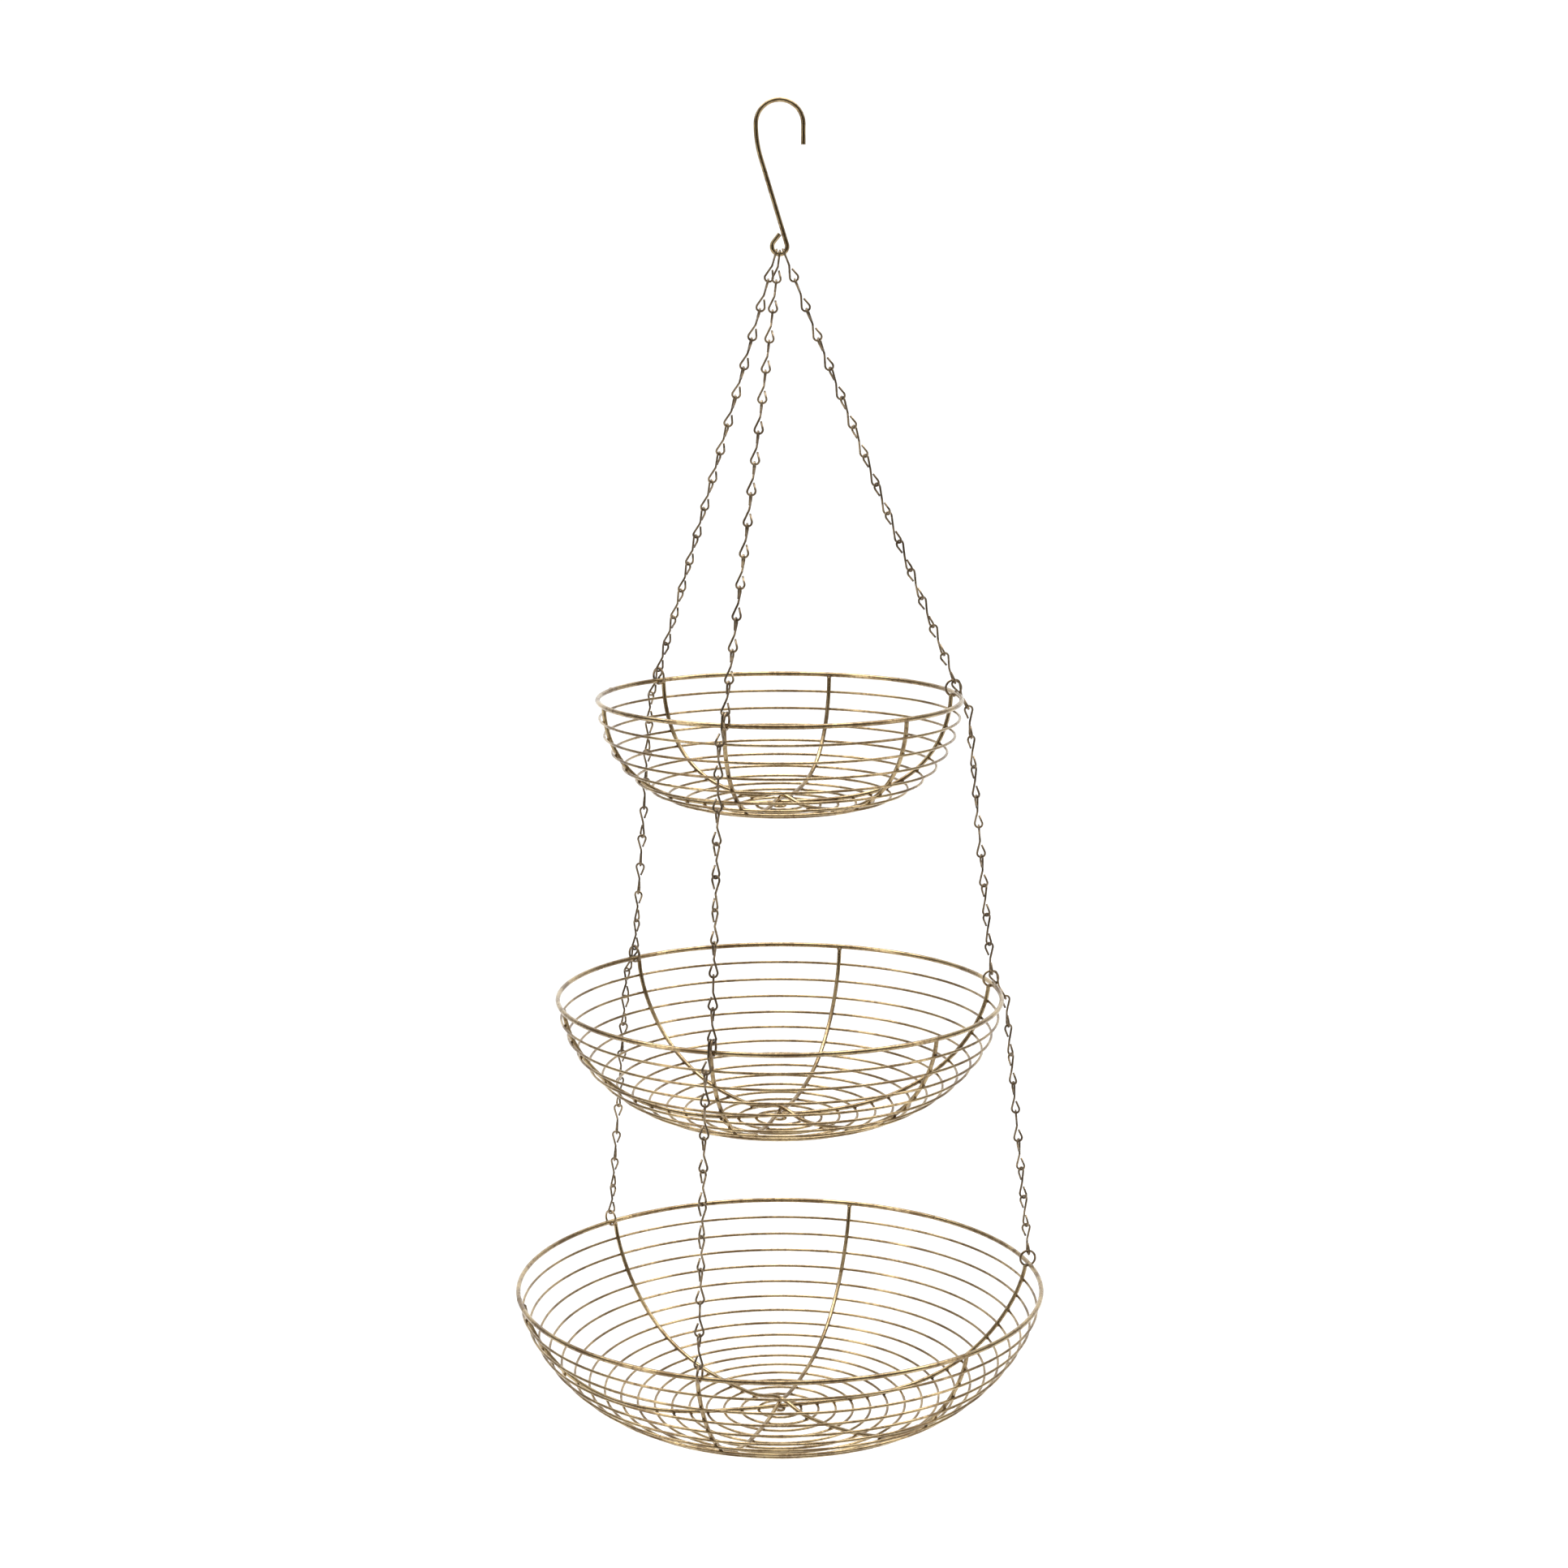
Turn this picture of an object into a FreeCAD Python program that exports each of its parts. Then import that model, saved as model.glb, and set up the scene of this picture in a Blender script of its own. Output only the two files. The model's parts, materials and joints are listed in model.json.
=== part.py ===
import FreeCAD, Part
import math
import os

# Three-tier hanging wire basket: an S-hook with a closed eye, three chains and three round
# wire bowls. +Z is up, the front is towards -Y, sizes are in millimetres.
# The origin is the inside top of the hook's arch, where it bears on a rod or a ceiling hook.

Vec = FreeCAD.Vector
UP = Vec(0, 0, 1)

# Wire diameters
hook_wire = 2.5
rim_wire = 2.7
rib_wire = 2.4
hoop_wire = 1.5
ring_wire = 1.3
link_wire = 1.2

# Hook, measured along the centre of its wire
arch_radius = 12.85
tip_length = 11.0
shank_lean = 17.0
eye_radius = 4.1
eye_drop = 82.35
eye_closing_lean = 38.0

# Chain: a link's length is taken between the wire centres of its two ends
link_length = 18.66
lobe_radius = 2.25
waist_bend = 2.5
link_end_gap = 0.3
links_to_top_bowl = 15
links_between_bowls = 9
mid_run_twist = 75.0

# Jump rings, radius at the wire centre
ring_radius = 4.5

# Bowls: outside width over the rim, depth of the rib at the centre, the two powers of the
# superellipse that the ribs follow, and the number of hoops below the rim
bowls = {
    "top": {"width": 205.0, "depth": 58.5, "side_power": 3.48, "base_power": 1.96, "hoops": 13},
    "middle": {"width": 253.0, "depth": 69.5, "side_power": 2.8, "base_power": 1.69, "hoops": 15},
    "bottom": {"width": 302.0, "depth": 73.9, "side_power": 3.5, "base_power": 1.44, "hoops": 18},
}
rib_inset = 2.0
first_hoop_radius = 3.3
rib_lift_radius = 14.0
chain_angles = {"right": 13.0, "rear_left": 133.0, "front_left": 253.0}
# Where each chain hangs on the eye, sideways from its centre
eye_places = {"right": 2.5, "front_left": -0.1, "rear_left": -2.1}
ribs_per_bowl = 3

# Clearances
weld_gap = 0.02
link_play = 0.10
eye_play = 0.15
ring_play = 0.05
rib_play = 0.15
rim_play = 0.04
side_play = 0.05
seat_play = 0.20
pivot_play = 0.60

# Angle of a link's legs to its length, from the waist to where they turn into the end
link_taper = math.asin(lobe_radius / (link_length / 2 - lobe_radius))
# A ring and a lead link sit side by side on the end of a chain, each moved over by this much
side_shift = (ring_wire + link_wire) / 4 + side_play
# They rest this far above the wire centre of the link end that carries them
seat_radius = lobe_radius - (ring_wire + link_wire) / 2 - seat_play
ring_seat = lobe_radius - math.sqrt(seat_radius ** 2 - side_shift ** 2)
# Height of a ring's top wire above the rim it is threaded on
ring_rise = 2 * ring_radius - (ring_wire + rim_wire) / 2 - ring_play
# The chain hangs beside the rib's end so that the ring clears the rib
chain_offset = (rib_wire + ring_wire) / 2 + rib_play - side_shift


def swept_wire(path, start, direction, diameter):
    section = Part.Face(Part.Wire(Part.makeCircle(diameter / 2, start, direction)))
    return path.makePipe(section)


def spline_wire(points, diameter):
    curve = Part.BSplineCurve()
    curve.interpolate(points)
    path = Part.Wire(curve.toShape())
    return swept_wire(path, points[0], curve.tangent(curve.FirstParameter)[0], diameter)


def on_circle(centre, radius, degrees):
    angle = math.radians(degrees)
    return centre + Vec(radius * math.cos(angle), 0, radius * math.sin(angle))


def arc(centre, radius, start, end):
    points = [on_circle(centre, radius, a) for a in (start, (start + end) / 2, end)]
    return Part.Arc(*points).toShape()


def radial(degrees, radius, sideways, z):
    # A point at a distance from the axis, moved sideways along the tangent
    out = Vec(math.cos(math.radians(degrees)), math.sin(math.radians(degrees)), 0)
    return out * radius + UP.cross(out) * sideways + UP * z


# ---- hook ----
arch_centre = Vec(0, 0, hook_wire / 2 - arch_radius)
eye_centre = Vec(0, 0, hook_wire / 2 - eye_drop + eye_radius)


def make_hook():
    lean = math.radians(shank_lean)
    close = math.radians(eye_closing_lean)
    # Radius of the bend below the arch that brings the straight shank onto the eye
    height = arch_centre.z - eye_centre.z
    offset = eye_radius + arch_radius * math.cos(lean) - height * math.sin(lean)
    bend = -offset / (1 - math.cos(lean))
    bend_centre = arch_centre + Vec(bend - arch_radius, 0, 0)
    tip = arch_centre + Vec(arch_radius, 0, -tip_length)
    shank_top = on_circle(bend_centre, bend, 180 + shank_lean)
    shank_end = on_circle(eye_centre, eye_radius, shank_lean)
    eye_end = on_circle(eye_centre, eye_radius, 180 - eye_closing_lean)
    # The closing leg stops where its cut end meets the shank
    stop = hook_wire / 2 * (1 + math.cos(lean + close)) + 2 * weld_gap
    leg = (eye_radius * (1 + math.cos(lean + close)) - stop) / math.sin(lean + close)
    leg_end = eye_end + Vec(math.sin(close), 0, math.cos(close)) * leg
    path = Part.Wire([
        Part.makeLine(tip, on_circle(arch_centre, arch_radius, 0)),
        arc(arch_centre, arch_radius, 0, 180),
        arc(bend_centre, bend, 180, 180 + shank_lean),
        Part.makeLine(shank_top, shank_end),
        arc(eye_centre, eye_radius, shank_lean, -180 - eye_closing_lean),
        Part.makeLine(eye_end, leg_end),
    ])
    return swept_wire(path, tip, UP, hook_wire)


# ---- chain ----
def make_link():
    # A jack-chain link hangs down from the origin: an upper loop in the XZ plane and a lower
    # loop in the YZ plane, bent from one wire that turns from one plane to the other at the waist.
    waist = Vec(0, 0, -link_length / 2)
    sine, cosine = math.sin(link_taper), math.cos(link_taper)
    across, down = lobe_radius * cosine, lobe_radius * (1 + sine)
    # The cut ends stop short of the leg that passes through the waist
    free = (link_wire + link_end_gap) / (2 * sine)
    rise, fall = Vec(sine, 0, cosine), Vec(0, sine, -cosine)
    half_turn = rise.getAngle(fall * -1) / 2
    cut = waist_bend * math.tan(half_turn)
    middle = (rise + fall).normalize() * (waist_bend / math.cos(half_turn) - waist_bend)
    start = waist + Vec(-sine, 0, cosine) * free
    upper = [Vec(-across, 0, -down), Vec(0, 0, 0), Vec(across, 0, -down)]
    lower = [Vec(0, across, down - link_length), Vec(0, 0, -link_length), Vec(0, -across, down - link_length)]
    path = Part.Wire([
        Part.makeLine(start, upper[0]),
        Part.Arc(*upper).toShape(),
        Part.makeLine(upper[2], waist + rise * cut),
        Part.Arc(waist + rise * cut, waist + middle, waist + fall * cut).toShape(),
        Part.makeLine(waist + fall * cut, lower[0]),
        Part.Arc(*lower).toShape(),
        Part.makeLine(lower[2], waist + Vec(0, -sine, -cosine) * free),
    ])
    return swept_wire(path, start, upper[0] - start, link_wire)


def placed(link, top, down, side):
    # Puts a link's upper end at top, with its length along down and its upper loop spanning side
    x = (side - down * side.dot(down)).normalize()
    z = down * -1
    y = z.cross(x)
    copy = link.copy()
    copy.Placement = FreeCAD.Placement(FreeCAD.Matrix(
        x.x, y.x, z.x, top.x,
        x.y, y.y, z.y, top.y,
        x.z, y.z, z.z, top.z,
        0, 0, 0, 1))
    return copy


def link_run(link, top, end, facings):
    # Links in a straight line from the wire centre at top to the wires that rest at end
    down = (end - top).normalize()
    step = ((end - top).Length + ring_seat - link_length) / (len(facings) - 1)
    return [
        placed(link, top + down * (step * i), down, radial(facing, 1, 0, 0))
        for i, facing in enumerate(facings)
    ]


def run_length(count):
    return count * link_length - (count - 1) * (link_wire + link_play) - ring_seat


def rim_radius(bowl):
    return (bowl["width"] - rim_wire) / 2


# Each chain pulls straight away from the eye's wire, and its first link grips the wire from inside
eye_grip = (hook_wire + link_wire) / 2 + eye_play


def eye_point(side):
    x = eye_places[side]
    return Vec(x, 0, eye_centre.z - math.sqrt(eye_radius ** 2 - x ** 2))


def eye_seat(side):
    pull = junction("top", chain_angles[side]) - eye_point(side)
    return eye_point(side) - pull.normalize() * eye_grip


# The lead link leans out from the ring, its inner leg clearing the outside of the rim
leg_to_rim = (rim_wire + link_wire) / 2 + rim_play
lead_lean = math.asin((leg_to_rim + link_length / 2 * math.sin(link_taper)) / ring_rise) - link_taper
lead_out = link_length * math.sin(lead_lean)
lead_down = link_length * math.cos(lead_lean) - link_wire - pivot_play

# Height of each junction, where a chain carries the ring of a rim, from the chain's length
junction_z = {}
start_radius = 0.0
start_z = eye_centre.z - eye_radius
reach = run_length(links_to_top_bowl) - eye_grip
for tier, bowl in bowls.items():
    across = rim_radius(bowl) - start_radius
    junction_z[tier] = start_z - math.sqrt(reach ** 2 - across ** 2)
    start_radius = rim_radius(bowl) + lead_out
    start_z = junction_z[tier] - lead_down
    reach = run_length(links_between_bowls)
rim_z = {tier: z - ring_rise for tier, z in junction_z.items()}


def junction(tier, degrees):
    return radial(degrees, rim_radius(bowls[tier]), chain_offset, junction_z[tier])


def lead_link(link, tier, degrees):
    # Its upper end shares the last link with the ring, on the side away from it
    top = radial(degrees, rim_radius(bowls[tier]), chain_offset - side_shift, junction_z[tier])
    down = radial(degrees, math.sin(lead_lean), 0, -math.cos(lead_lean))
    return placed(link, top, down, radial(degrees, 1, 0, 0))


def lower_start(tier, degrees):
    out = rim_radius(bowls[tier]) + lead_out
    return radial(degrees, out, chain_offset - side_shift, junction_z[tier] - lead_down)


def make_ring(tier, degrees):
    centre = radial(degrees, rim_radius(bowls[tier]), chain_offset + side_shift,
                    junction_z[tier] - ring_radius)
    return Part.makeTorus(ring_radius, ring_wire / 2, centre, radial(degrees, 0, 1, 0))


# ---- bowls ----
def rib_curve(bowl):
    # Distance from the axis and depth along half a rib, rim to centre, in even steps
    radius = rim_radius(bowl) - rib_inset
    fine = []
    samples = 2000
    for i in range(samples + 1):
        t = math.pi / 2 * i / samples
        across = radius * max(math.cos(t), 0.0) ** (2 / bowl["side_power"])
        down = bowl["depth"] * math.sin(t) ** (2 / bowl["base_power"])
        fine.append((across, down))
    lengths = [0.0]
    for (r0, d0), (r1, d1) in zip(fine, fine[1:]):
        lengths.append(lengths[-1] + math.hypot(r1 - r0, d1 - d0))
    return fine, lengths


def point_at(fine, lengths, distance):
    i = next((k for k, s in enumerate(lengths) if s >= distance), len(lengths) - 1)
    i = max(i, 1)
    part = (distance - lengths[i - 1]) / (lengths[i] - lengths[i - 1])
    (r0, d0), (r1, d1) = fine[i - 1], fine[i]
    return r0 + (r1 - r0) * part, d0 + (d1 - d0) * part


def make_rib(tier, bowl, index):
    # One wire from rim to rim through the centre. Each next rib lies on the one before it
    # where they cross, so it rises towards the centre.
    fine, lengths = rib_curve(bowl)
    # The cut end stops against the inside of the rim
    beside = max(rib_inset - rib_wire / 2, 0)
    drop = math.sqrt((rim_wire / 2 + weld_gap) ** 2 - min(beside, rim_wire / 2) ** 2)
    start = next(s for (r, d), s in zip(fine, lengths) if d >= drop)
    count = 22
    half = [point_at(fine, lengths, start + (lengths[-1] - start) * i / count)
            for i in range(count)]
    lift = index * (rib_wire + weld_gap)

    def height(r, d):
        return rim_z[tier] - d + lift * math.exp(-(r / rib_lift_radius) ** 2)

    angle = chain_angles["right"] + 60.0 * index
    points = [radial(angle, r, 0, height(r, d)) for r, d in half]
    points.append(Vec(0, 0, height(0, bowl["depth"])))
    points += [radial(angle + 180, r, 0, height(r, d)) for r, d in reversed(half)]
    return spline_wire(points, rib_wire)


def make_hoops(tier, bowl):
    # Hoops lie outside the ribs in even steps down the curve
    fine, lengths = rib_curve(bowl)
    inner = next(s for (r, d), s in zip(fine, lengths) if r <= first_hoop_radius)
    spacing = inner / bowl["hoops"]
    away = (rib_wire + hoop_wire) / 2 + weld_gap
    hoops = []
    for i in range(1, bowl["hoops"] + 1):
        r0, d0 = point_at(fine, lengths, spacing * i - 0.5)
        r1, d1 = point_at(fine, lengths, spacing * i + 0.5)
        run = math.hypot(r1 - r0, d1 - d0)
        r = (r0 + r1) / 2 + away * (d1 - d0) / run
        d = (d0 + d1) / 2 + away * (r0 - r1) / run
        hoops.append(Part.makeTorus(r, hoop_wire / 2, Vec(0, 0, rim_z[tier] - d), UP))
    return hoops


# ---- nodes ----
parts = {"hook": make_hook()}
link = make_link()
for side, degrees in chain_angles.items():
    # The upper chain turns from the hook's plane, where loops span Y, to the ring's
    turn = degrees % 180.0 - 90.0
    last = links_to_top_bowl - 1
    facings = [90.0 + turn * i / last for i in range(links_to_top_bowl)]
    links = link_run(link, eye_seat(side), junction("top", degrees), facings)
    parts["upper_chain_" + side] = Part.makeCompound(links + [lead_link(link, "top", degrees)])

    # The chains between bowls turn out and back again on their way down
    last = links_between_bowls - 1
    facings = [degrees + mid_run_twist * (1 - abs(1 - 2 * i / last)) for i in range(links_between_bowls)]
    for name, above, below in (("middle", "top", "middle"), ("lower", "middle", "bottom")):
        links = link_run(link, lower_start(above, degrees), junction(below, degrees), facings)
        parts[name + "_chain_" + side] = Part.makeCompound(links)
    parts["middle_lead_link_" + side] = lead_link(link, "middle", degrees)

for tier, bowl in bowls.items():
    parts[tier + "_rim"] = Part.makeTorus(rim_radius(bowl), rim_wire / 2, Vec(0, 0, rim_z[tier]), UP)
    for side, degrees in chain_angles.items():
        parts[tier + "_ring_" + side] = make_ring(tier, degrees)
    for index in range(ribs_per_bowl):
        parts[tier + "_rib_" + str(index + 1)] = make_rib(tier, bowl, index)
    hoops = make_hoops(tier, bowl)
    for first in range(0, len(hoops), 2):
        pair = hoops[first:first + 2]
        name = tier + "_hoops_" + str(first + 1) + "_" + str(first + len(pair))
        parts[name] = Part.makeCompound(pair)

os.makedirs("parts", exist_ok=True)
for name, shape in parts.items():
    shape.exportStep("parts/" + name + ".step")
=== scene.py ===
import json
import math
import random

import bpy
from mathutils import Matrix, Vector


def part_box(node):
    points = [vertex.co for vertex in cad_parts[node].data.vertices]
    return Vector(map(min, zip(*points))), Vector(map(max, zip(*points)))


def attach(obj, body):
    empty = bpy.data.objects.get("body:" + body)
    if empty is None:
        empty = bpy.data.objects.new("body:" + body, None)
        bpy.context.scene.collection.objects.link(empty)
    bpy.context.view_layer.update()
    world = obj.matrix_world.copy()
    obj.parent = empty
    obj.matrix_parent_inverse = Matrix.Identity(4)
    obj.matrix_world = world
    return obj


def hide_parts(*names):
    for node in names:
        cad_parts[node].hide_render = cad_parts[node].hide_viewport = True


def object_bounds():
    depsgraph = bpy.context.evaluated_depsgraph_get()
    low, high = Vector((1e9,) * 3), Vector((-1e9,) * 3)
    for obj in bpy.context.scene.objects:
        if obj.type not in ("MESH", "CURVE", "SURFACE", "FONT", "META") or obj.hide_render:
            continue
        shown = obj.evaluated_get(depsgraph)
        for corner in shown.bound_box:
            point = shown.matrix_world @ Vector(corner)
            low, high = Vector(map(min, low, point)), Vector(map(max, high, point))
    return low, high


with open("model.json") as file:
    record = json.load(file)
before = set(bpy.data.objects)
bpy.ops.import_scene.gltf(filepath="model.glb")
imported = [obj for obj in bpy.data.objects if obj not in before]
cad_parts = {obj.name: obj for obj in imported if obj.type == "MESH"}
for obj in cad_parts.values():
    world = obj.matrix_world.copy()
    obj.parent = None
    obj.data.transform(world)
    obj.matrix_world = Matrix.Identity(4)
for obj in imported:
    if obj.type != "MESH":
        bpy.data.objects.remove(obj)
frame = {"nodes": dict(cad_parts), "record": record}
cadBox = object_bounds()
nodes = frame["nodes"]
bodyNodes = frame["record"]["behaviour"]["bodies"]
print("frame loaded:", len(nodes), "nodes")


def tubeRings(points, radii, sides, closed):
    # one cross direction is carried along the path so that the tube doesn't twist, and
    # a flat closed loop brings it back to where it started
    count = len(points)
    rings = []
    across = None
    for i, point in enumerate(points):
        before = points[(i - 1) % count] if closed or i else points[0]
        after = points[(i + 1) % count] if closed or i < count - 1 else points[-1]
        heading = (after - before).normalized()
        if across is None:
            across = heading.orthogonal().normalized()
        across = (across - heading * across.dot(heading)).normalized()
        other = heading.cross(across)
        rings.append([
            point + (across * math.cos(a) + other * math.sin(a)) * radii[i]
            for a in (2 * math.pi * k / sides for k in range(sides))
        ])
    return rings


def addTube(mesh, points, radii, sides=14, closed=False):
    verts, faces = mesh
    rings = tubeRings(points, radii, sides, closed)
    start = len(verts)
    for ring in rings:
        verts.extend(ring)
    count = len(rings)
    for i in range(count if closed else count - 1):
        a, b = start + i * sides, start + ((i + 1) % count) * sides
        for k in range(sides):
            n = (k + 1) % sides
            faces.append((a + k, a + n, b + n, b + k))
    if not closed:
        faces.append(tuple(start + k for k in reversed(range(sides))))
        faces.append(tuple(start + (count - 1) * sides + k for k in range(sides)))


def roundedEnds(points, radius, edgeShare=0.35, steps=4):
    # a cut wire end with its edge broken: the last stretch is closed in over a small radius
    edge = radius * edgeShare
    first = (points[1] - points[0]).normalized()
    last = (points[-1] - points[-2]).normalized()
    out, radii = [], []
    for k in range(steps):
        a = math.pi / 2 * k / steps
        out.append(points[0] + first * edge * (1 - math.cos(math.pi / 2 - a)) * (1 if k else 0))
        radii.append(radius - edge * (1 - math.sin(a)))
    inner = [p for p in points
             if (p - points[0]).length > edge * 1.05 and (p - points[-1]).length > edge * 1.05]
    out.extend(inner)
    radii.extend([radius] * len(inner))
    for k in reversed(range(steps)):
        a = math.pi / 2 * k / steps
        out.append(points[-1] - last * edge * (1 - math.cos(math.pi / 2 - a)) * (1 if k else 0))
        radii.append(radius - edge * (1 - math.sin(a)))
    return out, radii


def addBlob(mesh, centre, axes, radii, rng, rough=0.10, rows=6, sides=10):
    # a small lump of weld metal, slightly uneven
    verts, faces = mesh
    start = len(verts)
    verts.append(centre + axes[2] * radii[2])
    for i in range(1, rows):
        a = math.pi * i / rows
        for k in range(sides):
            b = 2 * math.pi * k / sides
            size = 1 + rng.uniform(-rough, rough)
            verts.append(centre
                         + axes[0] * radii[0] * math.sin(a) * math.cos(b) * size
                         + axes[1] * radii[1] * math.sin(a) * math.sin(b) * size
                         + axes[2] * radii[2] * math.cos(a))
    verts.append(centre - axes[2] * radii[2])
    end = len(verts) - 1
    for k in range(sides):
        n = (k + 1) % sides
        faces.append((start, start + 1 + k, start + 1 + n))
        for i in range(rows - 2):
            a, b = start + 1 + i * sides, start + 1 + (i + 1) * sides
            faces.append((a + k, b + k, b + n, a + n))
        a = start + 1 + (rows - 2) * sides
        faces.append((a + k, end, a + n))


def makePiece(name, mesh, material, body, replaced=()):
    data = bpy.data.meshes.new(name)
    data.from_pydata([tuple(v) for v in mesh[0]], [], mesh[1])
    data.polygons.foreach_set("use_smooth", [True] * len(data.polygons))
    data.materials.append(material)
    piece = bpy.data.objects.new(name, data)
    bpy.context.scene.collection.objects.link(piece)
    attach(piece, body)
    if replaced:
        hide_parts(*replaced)
    return piece


def bodyOf(node):
    return next(body for body, names in bodyNodes.items() if node in names)


def islands(node):
    # the separate wires of a node, each as its list of points
    data = nodes[node].data
    parent = list(range(len(data.vertices)))

    def find(i):
        while parent[i] != i:
            parent[i] = parent[parent[i]]
            i = parent[i]
        return i

    same = {}
    for v in data.vertices:
        key = tuple(round(c * 1e6) for c in v.co)
        if key in same:
            parent[find(v.index)] = find(same[key])
        else:
            same[key] = v.index
    for edge in data.edges:
        a, b = find(edge.vertices[0]), find(edge.vertices[1])
        if a != b:
            parent[a] = b
    groups = {}
    for v in data.vertices:
        groups.setdefault(find(v.index), []).append(v.co.copy())
    return list(groups.values())


def pointBox(points):
    low = Vector(min(p[i] for p in points) for i in range(3))
    high = Vector(max(p[i] for p in points) for i in range(3))
    return low, high


class Socket:
    # a node socket that takes part in Python arithmetic
    def __init__(self, tree, link):
        self.tree = tree
        self.link = link

    def make(self, kind, settings=None, values=None, output=0):
        node = self.tree.nodes.new(kind)
        for key, value in (settings or {}).items():
            setattr(node, key, value)
        for key, value in (values or {}).items():
            if isinstance(value, Socket):
                self.tree.links.new(value.link, node.inputs[key])
            else:
                node.inputs[key].default_value = value
        return Socket(self.tree, node.outputs[output])

    def maths(self, operation, first, second):
        return self.make("ShaderNodeMath", {"operation": operation}, {0: first, 1: second})

    def __add__(self, other):
        return self.maths("ADD", self, other)

    __radd__ = __add__

    def __mul__(self, other):
        return self.maths("MULTIPLY", self, other)

    __rmul__ = __mul__

    def __sub__(self, other):
        return self.maths("SUBTRACT", self, other)

    def __rsub__(self, other):
        return self.maths("SUBTRACT", other, self)

    def step(self, low, high):
        return self.make("ShaderNodeMapRange", {"interpolation_type": "SMOOTHSTEP"},
                         {"Value": self, "From Min": low, "From Max": high})

    def mix(self, first, second):
        node = self.tree.nodes.new("ShaderNodeMix")
        node.data_type = "RGBA"
        self.tree.links.new(self.link, node.inputs[0])
        for place, value in ((6, first), (7, second)):
            if isinstance(value, Socket):
                self.tree.links.new(value.link, node.inputs[place])
            else:
                node.inputs[place].default_value = (*value, 1)
        return Socket(self.tree, node.outputs[2])


def newShader(name):
    material = bpy.data.materials.new(name)
    material.use_nodes = True
    tree = material.node_tree
    shader = tree.nodes["Principled BSDF"]
    place = Socket(tree, None).make("ShaderNodeTexCoord", output=3)
    return material, tree, shader, place


def feed(tree, shader, name, value):
    if isinstance(value, Socket):
        tree.links.new(value.link, shader.inputs[name])
    elif isinstance(value, tuple):
        shader.inputs[name].default_value = (*value, 1)
    else:
        shader.inputs[name].default_value = value


platedLook = {
    "basket": {"bright": (0.56, 0.42, 0.22), "deep": (0.21, 0.135, 0.062), "stain": (0.075, 0.042, 0.022),
               "polish": 0.15, "spread": 0.16, "stainAmount": 0.55},
    "chain": {"bright": (0.36, 0.27, 0.16), "deep": (0.12, 0.078, 0.042), "stain": (0.035, 0.024, 0.017),
              "polish": 0.20, "spread": 0.20, "stainAmount": 0.70},
    "ring": {"bright": (0.42, 0.31, 0.18), "deep": (0.15, 0.095, 0.05), "stain": (0.045, 0.03, 0.02),
             "polish": 0.16, "spread": 0.18, "stainAmount": 0.60},
    "weld": {"bright": (0.30, 0.21, 0.11), "deep": (0.10, 0.062, 0.032), "stain": (0.03, 0.02, 0.014),
             "polish": 0.34, "spread": 0.26, "stainAmount": 0.80},
}


def platedMetal(name, look):
    # antique gold plate over drawn steel wire: warm and bright where rubbed, brown where the lacquer toned
    material, tree, shader, place = newShader(name)
    cloud = place.make("ShaderNodeTexNoise", None, {"Vector": place, "Scale": 55.0, "Detail": 3.0})
    patch = place.make("ShaderNodeTexNoise", None, {"Vector": place, "Scale": 420.0, "Detail": 4.0})
    grain = place.make("ShaderNodeTexNoise", None, {"Vector": place, "Scale": 3800.0, "Detail": 2.0})
    rubbed = (cloud * 0.55 + patch * 0.45).step(0.38, 0.62)
    stained = patch.step(0.54, 0.72) * look["stainAmount"]
    metal = rubbed.mix(look["deep"], look["bright"])
    feed(tree, shader, "Base Color", stained.mix(metal, look["stain"]))
    feed(tree, shader, "Metallic", 1.0)
    feed(tree, shader, "Roughness", (1 - rubbed) * look["spread"] + look["polish"] + grain * 0.05)
    feed(tree, shader, "Coat Weight", 0.35)
    feed(tree, shader, "Coat Roughness", 0.12)
    bump = place.make("ShaderNodeBump", None,
                      {"Strength": 0.25, "Distance": 0.00004, "Height": grain * 0.5 + patch * 0.5})
    feed(tree, shader, "Normal", bump)
    return material


def floorPaint():
    material, tree, shader, place = newShader("pale_floor")
    fleck = place.make("ShaderNodeTexNoise", None, {"Vector": place, "Scale": 3.0, "Detail": 2.0})
    feed(tree, shader, "Base Color", fleck.mix((0.93, 0.93, 0.925), (0.95, 0.95, 0.945)))
    feed(tree, shader, "Roughness", 0.9)
    return material


metals = {name: platedMetal(name + "_plate", look) for name, look in platedLook.items()}
print("materials ready")

# the ribs' superellipse powers: how square the sides and how flat the base are
bowlShape = {
    "top": {"sidePower": 3.48, "basePower": 1.96},
    "middle": {"sidePower": 2.8, "basePower": 1.69},
    "bottom": {"sidePower": 3.5, "basePower": 1.44},
}
bowlDetail = {
    "ribInset": 0.002,
    "ribRadius": 0.0012,
    "ribTopDrop": 0.00113,
    "ribLift": 0.00242,
    "ribLiftRadius": 0.014,
    "firstRib": 13.0,
    "ribGap": 60.0,
    "ribSteps": 260,
    "weldSwell": 0.16,
    "weldLength": 0.0011,
    "nubGap": 0.00045,
    "nubLength": 0.00115,
    "nubWidth": 0.00105,
    "nubHeight": 0.0006,
    "rimNub": (0.00115, 0.0015, 0.00085),
    "hoopStep": 0.0022,
    "profileSteps": 1200,
}


def circlePoints(centre, radius, count, normal, start):
    x = normal.orthogonal().normalized()
    y = normal.cross(x)
    angles = (start + 2 * math.pi * k / count for k in range(count))
    return [centre + (x * math.cos(a) + y * math.sin(a)) * radius for a in angles]


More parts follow.
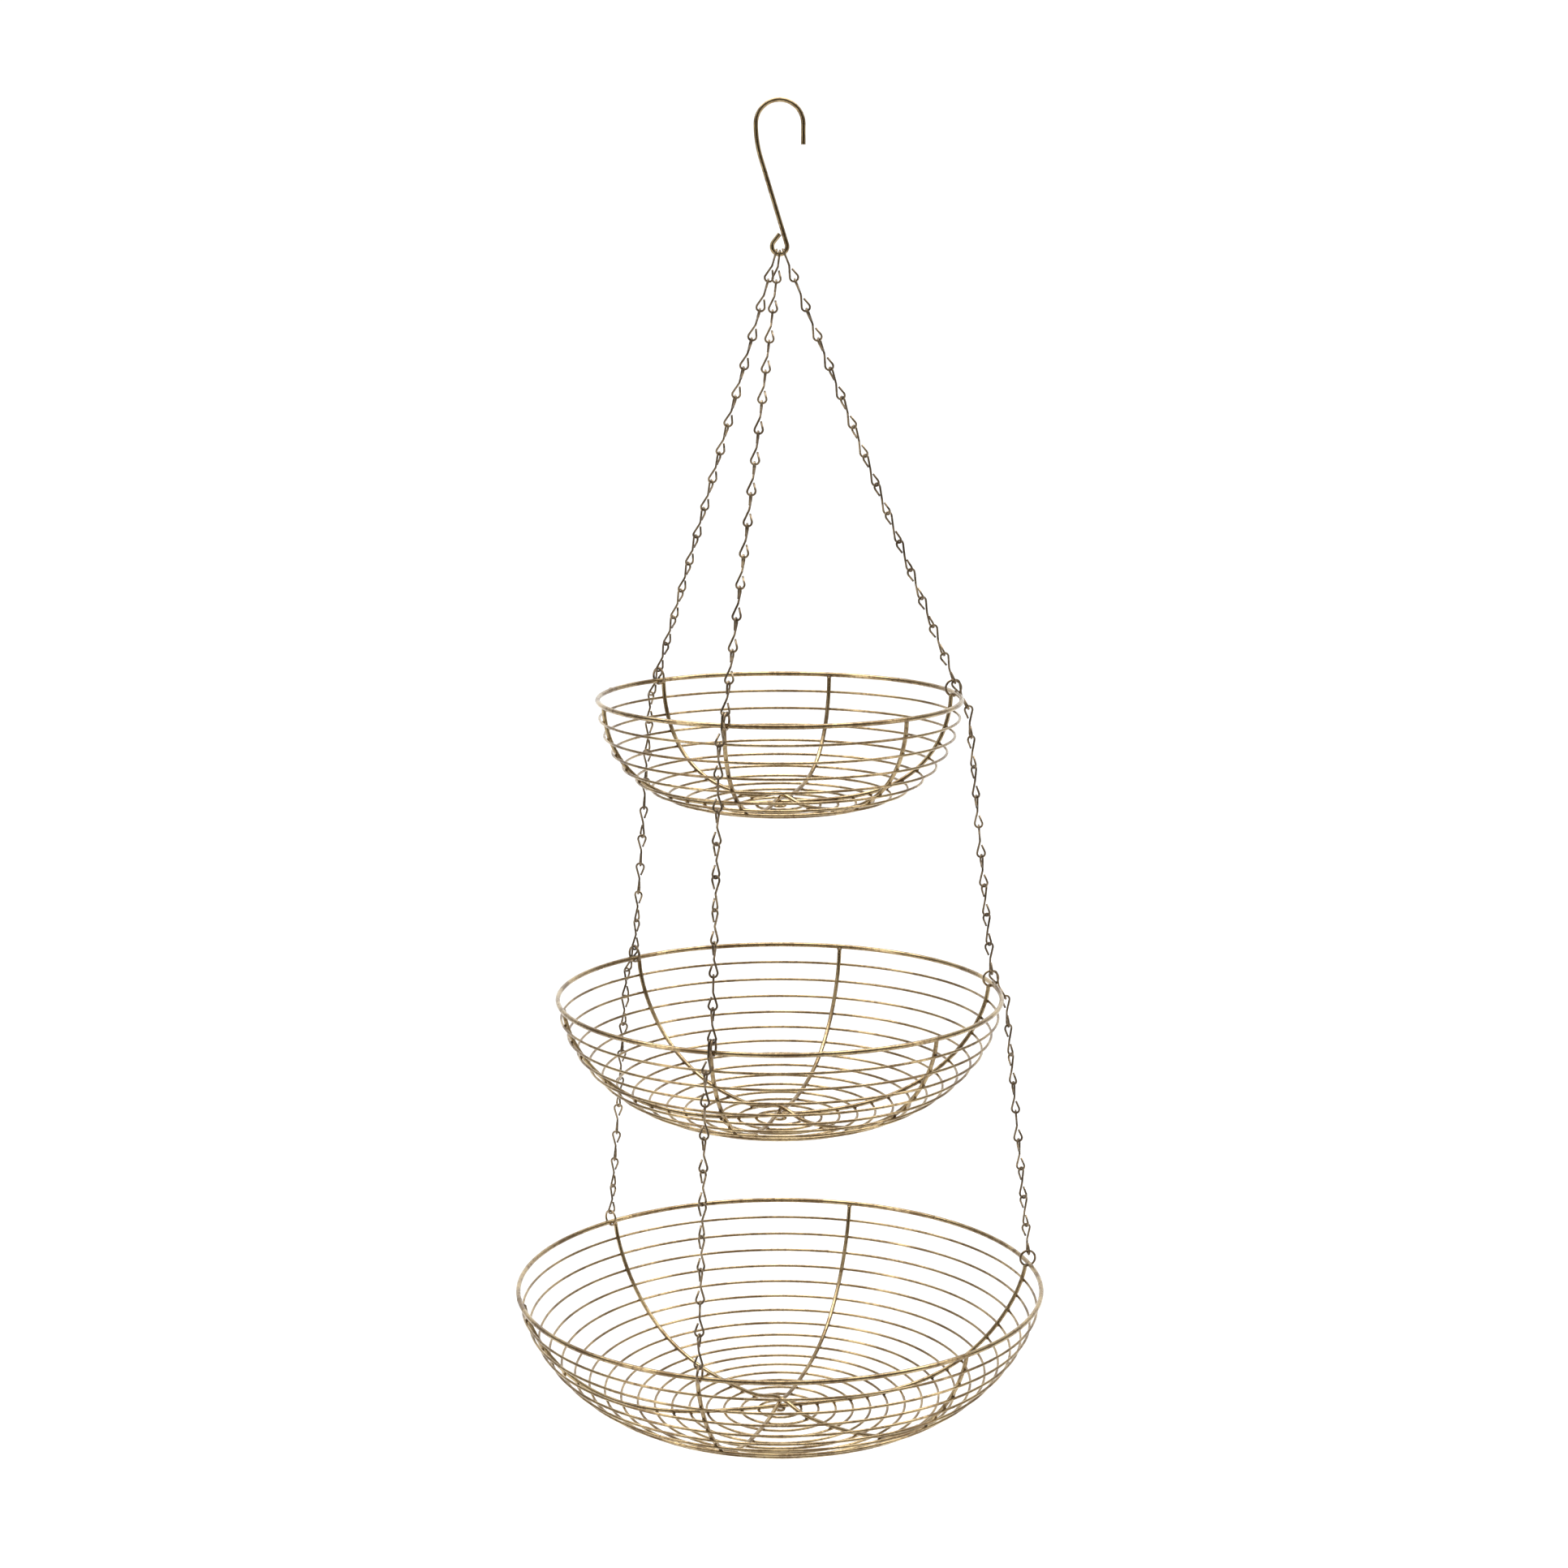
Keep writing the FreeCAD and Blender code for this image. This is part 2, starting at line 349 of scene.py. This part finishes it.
def addHoop(mesh, centre, radius, wire, normal, rng):
    # a ring of wire, butt welded: the joint stands a little proud on the side normal points to
    count = max(48, int(2 * math.pi * radius / bowlDetail["hoopStep"]))
    place = rng.uniform(0, 2 * math.pi)
    points = circlePoints(centre, radius, count, normal, place)
    radii = []
    for k in range(count):
        away = min(k, count - k) * 2 * math.pi * radius / count
        swell = math.exp(-(away / bowlDetail["weldLength"]) ** 2)
        proud = wire * bowlDetail["weldSwell"] * swell
        points[k] = points[k] + normal * proud
        radii.append(wire + proud)
    addTube(mesh, points, radii, 14, closed=True)


def ribProfile(tier, rimRadius, depth):
    # distance from the axis and depth below the rim, from the rim to the centre
    shape = bowlShape[tier]
    radius = rimRadius - bowlDetail["ribInset"]
    fine = []
    for i in range(bowlDetail["profileSteps"] + 1):
        t = math.pi / 2 * i / bowlDetail["profileSteps"]
        fine.append((radius * max(math.cos(t), 0) ** (2 / shape["sidePower"]),
                     depth * math.sin(t) ** (2 / shape["basePower"])))
    lengths = [0.0]
    for (r0, d0), (r1, d1) in zip(fine, fine[1:]):
        lengths.append(lengths[-1] + math.hypot(r1 - r0, d1 - d0))
    start = next(s for (r, d), s in zip(fine, lengths) if d >= bowlDetail["ribTopDrop"])
    even, k = [], 0
    for i in range(bowlDetail["ribSteps"] + 1):
        want = start + (lengths[-1] - start) * i / bowlDetail["ribSteps"]
        while k < len(lengths) - 2 and lengths[k + 1] < want:
            k += 1
        part = (want - lengths[k]) / (lengths[k + 1] - lengths[k])
        even.append((fine[k][0] + (fine[k + 1][0] - fine[k][0]) * part,
                     fine[k][1] + (fine[k + 1][1] - fine[k][1]) * part))
    return even


def outward(degrees):
    return Vector((math.cos(math.radians(degrees)), math.sin(math.radians(degrees)), 0))


def buildRim(tier, rng):
    node = tier + "_rim"
    low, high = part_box(node)
    wire = (high.z - low.z) / 2
    radius = (high.x - low.x) / 2 - wire
    centre = Vector((0, 0, (high.z + low.z) / 2))
    mesh = ([], [])
    addHoop(mesh, centre, radius, wire, Vector((0, 0, 1)), rng)
    makePiece(tier + "_rim_wire", mesh, metals["basket"], bodyOf(node), [node])
    return centre.z, radius


def buildHoops(tier, rng):
    hoops = []
    for node in sorted(n for n in nodes if n.startswith(tier + "_hoops_")):
        mesh = ([], [])
        for points in islands(node):
            low, high = pointBox(points)
            wire = (high.z - low.z) / 2
            radius = (high.x - low.x) / 2 - wire
            centre = Vector((0, 0, (high.z + low.z) / 2))
            addHoop(mesh, centre, radius, wire, Vector((0, 0, 1)), rng)
            hoops.append((radius, centre.z, wire))
        makePiece(node + "_wires", mesh, metals["basket"], bodyOf(node), [node])
    return hoops


def liftAt(index, r):
    return index * bowlDetail["ribLift"] * math.exp(-(r / bowlDetail["ribLiftRadius"]) ** 2)


def buildRibs(tier, rimZ, rimRadius):
    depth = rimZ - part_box(tier + "_rib_1")[0].z - bowlDetail["ribRadius"]
    profile = ribProfile(tier, rimRadius, depth)
    for index in range(3):
        out = outward(bowlDetail["firstRib"] + bowlDetail["ribGap"] * index)
        half = [(r, rimZ - d + liftAt(index, r)) for r, d in profile]
        points = [out * r + Vector((0, 0, z)) for r, z in half]
        points += [out * -r + Vector((0, 0, z)) for r, z in reversed(half[:-1])]
        points, radii = roundedEnds(points, bowlDetail["ribRadius"])
        mesh = ([], [])
        addTube(mesh, points, radii, 16)
        node = tier + "_rib_" + str(index + 1)
        makePiece(node + "_wire", mesh, metals["basket"], bodyOf(node), [node])
    return profile


def buildWelds(tier, rimZ, profile, hoops, rng):
    # spot welds: metal squeezed out at each crossing of a rib and a hoop, and under the rim
    mesh = ([], [])
    up = Vector((0, 0, 1))
    for step in range(6):
        index = step % 3
        out = outward(bowlDetail["firstRib"] + bowlDetail["ribGap"] * step)
        side = up.cross(out)
        for radius, z, wire in hoops:
            r, d = min(profile, key=lambda p: math.hypot(p[0] - radius, rimZ - p[1] - z))
            ribZ = rimZ - d + liftAt(index, r)
            gap = math.hypot(r - radius, ribZ - z) - wire - bowlDetail["ribRadius"]
            if gap > bowlDetail["nubGap"]:
                continue
            rib = out * r + up * ribZ
            hoop = out * radius + up * z
            toward = (hoop - rib).normalized()
            along = side.cross(toward).normalized()
            centre = rib + toward * bowlDetail["ribRadius"]
            sizes = (bowlDetail["nubLength"] * rng.uniform(0.85, 1.1),
                     bowlDetail["nubWidth"] * rng.uniform(0.85, 1.1), bowlDetail["nubHeight"])
            addBlob(mesh, centre, (along, side, toward), sizes, rng)
        r, d = profile[0]
        top = out * (r + 0.0003) + up * (rimZ - d + 0.0001)
        addBlob(mesh, top, (out, side, up), bowlDetail["rimNub"], rng, 0.14)
    makePiece(tier + "_welds", mesh, metals["weld"], bodyOf(tier + "_rim"))


def buildRing(node, rng):
    # a chain's jump ring stands upright, across the rim wire that it closes round
    low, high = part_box(node)
    data = [v.co for v in nodes[node].data.vertices]
    middle = (low + high) / 2
    out = Vector((middle.x, middle.y, 0))
    azimuth = min(chainDirections, key=lambda a: (outward(a) - out.normalized()).length)
    normal = Vector((0, 0, 1)).cross(outward(azimuth))
    spread = [(p - middle).dot(normal) for p in data]
    wire = (max(spread) - min(spread)) / 2
    radius = (high.z - low.z) / 2 - wire
    mesh = ([], [])
    addHoop(mesh, middle, radius, wire, normal, rng)
    makePiece(node + "_wire", mesh, metals["ring"], bodyOf(node), [node])


chainDirections = [bowlDetail["firstRib"] + 120.0 * k for k in range(3)]
rng = random.Random(7)
for tier in ("top", "middle", "bottom"):
    rimZ, rimRadius = buildRim(tier, rng)
    hoops = buildHoops(tier, rng)
    profile = buildRibs(tier, rimZ, rimRadius)
    buildWelds(tier, rimZ, profile, hoops, rng)
    for node in sorted(n for n in nodes if n.startswith(tier + "_ring_")):
        buildRing(node, rng)
    print(tier, "bowl:", len(hoops), "hoops")

# loopShare is the part of a link's length that counts as one loop, and lapNear and lapFar
# bound the stretch above the waist where only the unbroken leg runs, short of the cut end
linkShape = {
    "wire": 0.0006,
    "lobe": 0.00225,
    "waistBend": 0.0025,
    "endGap": 0.0003,
    "arcSteps": 22,
    "loopShare": 0.22,
    "lapNear": 0.0003,
    "lapFar": 0.0016,
}


def arcBetween(centre, start, end, through, steps):
    # points on the arc from start to end that passes through the given point
    radius = (start - centre).length
    x = (start - centre).normalized()
    normal = x.cross(through - centre)
    if normal.length < 1e-12:
        normal = x.cross(end - centre)
    y = normal.normalized().cross(x)
    angle = math.atan2((end - centre).dot(y), (end - centre).dot(x)) % (2 * math.pi)
    return [centre + (x * math.cos(angle * k / steps) + y * math.sin(angle * k / steps)) * radius
            for k in range(steps + 1)]


def linkPath(length):
    # the centre line of one jack-chain link, from its upper wire centre at the origin down
    lobe, wire = linkShape["lobe"], linkShape["wire"]
    taper = math.asin(lobe / (length / 2 - lobe))
    sine, cosine = math.sin(taper), math.cos(taper)
    waist = Vector((0, 0, -length / 2))
    rise, fall = Vector((sine, 0, cosine)), Vector((0, sine, -cosine))
    half = rise.angle(-fall) / 2
    cut = linkShape["waistBend"] * math.tan(half)
    free = (2 * wire + linkShape["endGap"]) / (2 * sine)
    bendCentre = waist + (rise + fall).normalized() * linkShape["waistBend"] / math.cos(half)
    bendMid = bendCentre - (rise + fall).normalized() * linkShape["waistBend"]
    across, down = lobe * cosine, lobe * (1 + sine)
    steps = linkShape["arcSteps"]
    points = [waist + Vector((-sine, 0, cosine)) * free]
    points += arcBetween(Vector((0, 0, -lobe)), Vector((-across, 0, -down)), Vector((across, 0, -down)),
                         Vector((-lobe, 0, -lobe)), steps)
    points += arcBetween(bendCentre, waist + rise * cut, waist + fall * cut, bendMid, 6)
    points += arcBetween(Vector((0, 0, lobe - length)), Vector((0, across, down - length)),
                         Vector((0, -across, down - length)), Vector((0, lobe, lobe - length)), steps)
    points.append(waist + Vector((0, -sine, -cosine)) * free)
    return points


def linkPlace(points):
    # where a link lies: its upper wire centre, its length, its direction and the side that
    # the unbroken leg of its upper loop is on
    centre = sum(points, Vector()) / len(points)
    axis = Vector((0, 0, -1))
    for turn in range(12):
        axis = sum(((p - centre) * (p - centre).dot(axis) for p in points), Vector()).normalized()
    if axis.z > 0:
        axis = -axis
    along = [(p - centre).dot(axis) for p in points]
    low, high = min(along), max(along)
    wire = linkShape["wire"]
    length = high - low - 2 * wire
    loop = linkShape["loopShare"] * (high - low)
    top = [p for p, s in zip(points, along) if s < low + loop]
    bottom = [p for p, s in zip(points, along) if s > high - loop]
    upperMid = pairMiddle(top, axis)
    lowerMid = pairMiddle(bottom, axis)
    axis = (lowerMid - upperMid).normalized()
    along = [(p - upperMid).dot(axis) for p in points]
    start = upperMid + axis * (min(along) + wire)
    side = axis.orthogonal().normalized()
    other = axis.cross(side)
    best = max(range(180), key=lambda k: spreadAlong(
        top, side * math.cos(math.pi * k / 180) + other * math.sin(math.pi * k / 180)))
    across = side * math.cos(math.pi * best / 180) + other * math.sin(math.pi * best / 180)
    waist = start + axis * (length / 2)
    near = [p for p in points if linkShape["lapNear"] < (waist - p).dot(axis) < linkShape["lapFar"]]
    if near and sum((p - waist).dot(across) for p in near) < 0:
        across = -across
    return start, length, axis, across


def pairMiddle(points, axis):
    # the middle of a loop's outline, seen along the link
    low = min(points, key=lambda p: p.dot(axis))
    x = axis.orthogonal().normalized()
    y = axis.cross(x)
    spanX = [p.dot(x) for p in points]
    spanY = [p.dot(y) for p in points]
    return (x * (min(spanX) + max(spanX)) / 2 + y * (min(spanY) + max(spanY)) / 2
            + axis * low.dot(axis))


def spreadAlong(points, direction):
    spans = [p.dot(direction) for p in points]
    return max(spans) - min(spans)


def buildChain(node):
    mesh = ([], [])
    count = 0
    for points in islands(node):
        start, length, axis, across = linkPlace(points)
        up = -axis
        across = (across - up * across.dot(up)).normalized()
        turn = Matrix((across, up.cross(across), up)).transposed()
        path = [start + turn @ p for p in linkPath(length)]
        path, radii = roundedEnds(path, linkShape["wire"])
        addTube(mesh, path, radii, 12)
        count += 1
    makePiece(node + "_links", mesh, metals["chain"], bodyOf(node), [node])
    return count


linkCount = sum(buildChain(n) for n in sorted(nodes) if "_chain_" in n or "_lead_link_" in n)
print("chains:", linkCount, "links")

# the hook keeps its CAD mesh and takes a material and smooth shading
hook = nodes["hook"]
hook.data.materials.clear()
hook.data.materials.append(metals["basket"])
hook.data.polygons.foreach_set("use_smooth", [True] * len(hook.data.polygons))
print("hook finished")

studio = {
    "floorDrop": 0.55,
    "floorHalf": 6.0,
    "wallBehind": 2.6,
    "wallBend": 1.6,
    "wallHeight": 5.0,
    "camera": (0.0024, -1.5756, -0.0917),
    "cameraTilt": 8.744,
    "lens": 65.72,
    "shift": -0.0445,
    "room": 0.9,
}


def buildBackdrop():
    # a pale sheet that runs along the floor and curves up behind
    base = cadBox[0].z - studio["floorDrop"]
    bend, behind = studio["wallBend"], studio["wallBehind"]
    line = [(-studio["floorHalf"], base), (behind - bend, base)]
    line += [(behind - bend + bend * math.sin(a), base + bend * (1 - math.cos(a)))
             for a in (math.pi / 2 * k / 16 for k in range(1, 17))]
    line.append((behind, base + studio["wallHeight"]))
    half = studio["floorHalf"]
    verts = [(x, y, z) for y, z in line for x in (-half, half)]
    faces = [(2 * k, 2 * k + 1, 2 * k + 3, 2 * k + 2) for k in range(len(line) - 1)]
    data = bpy.data.meshes.new("backdrop")
    data.from_pydata(verts, [], faces)
    data.polygons.foreach_set("use_smooth", [True] * len(faces))
    data.materials.append(floorPaint())
    sheet = bpy.data.objects.new("backdrop", data)
    bpy.context.scene.collection.objects.link(sheet)


def areaLight(name, place, target, size, power, colour=(1, 1, 1)):
    light = bpy.data.lights.new(name, "AREA")
    light.shape = "RECTANGLE"
    light.size, light.size_y = size
    light.energy = power
    light.color = colour
    lamp = bpy.data.objects.new(name, light)
    lamp.location = place
    lamp.rotation_euler = (Vector(target) - Vector(place)).to_track_quat("-Z", "Y").to_euler()
    bpy.context.scene.collection.objects.link(lamp)


buildBackdrop()
middle = (0, 0, -0.4)
areaLight("overhead", (0, -0.2, 1.5), middle, (1.6, 1.2), 9)
areaLight("leftStrip", (-1.7, -1.0, 0.0), middle, (0.45, 2.2), 7, (1, 0.98, 0.95))
areaLight("rightStrip", (1.8, -0.5, 0.0), middle, (0.35, 2.2), 5, (1, 0.98, 0.95))
areaLight("backWash", (0, 0.7, 1.9), (0, 2.6, -0.4), (4.0, 1.0), 46)
areaLight("floorWash", (0, 0.6, 2.2), (0, 1.0, -1.3), (5.0, 2.0), 52)


def roomLight():
    # a dim studio: pale above and behind the set, dark on the camera's side
    world = bpy.data.worlds.new("room")
    world.use_nodes = True
    tree = world.node_tree
    way = Socket(tree, None).make("ShaderNodeTexCoord", output=0)
    height = way.make("ShaderNodeSeparateXYZ", None, {0: way}, 2)
    depth = way.make("ShaderNodeSeparateXYZ", None, {0: way}, 1)
    pale = height.step(0.15, 0.9) * 0.7 + depth.step(-0.2, 0.7) * 0.5
    tint = pale.mix((0.030, 0.024, 0.018), (0.95, 0.96, 1.0))
    tree.links.new(tint.link, tree.nodes["Background"].inputs["Color"])
    tree.nodes["Background"].inputs["Strength"].default_value = studio["room"]
    return world


world = roomLight()
bpy.context.scene.world = world
bpy.context.scene.view_settings.view_transform = "Standard"

lens = bpy.data.cameras.new("camera")
lens.lens = studio["lens"]
lens.sensor_width = 36
lens.shift_y = studio["shift"]
lens.clip_start = 0.05
lens.clip_end = 50
camera = bpy.data.objects.new("camera", lens)
camera.location = studio["camera"]
camera.rotation_euler = (math.radians(90 - studio["cameraTilt"]), 0, 0)
bpy.context.scene.collection.objects.link(camera)
bpy.context.scene.camera = camera
print("studio ready")
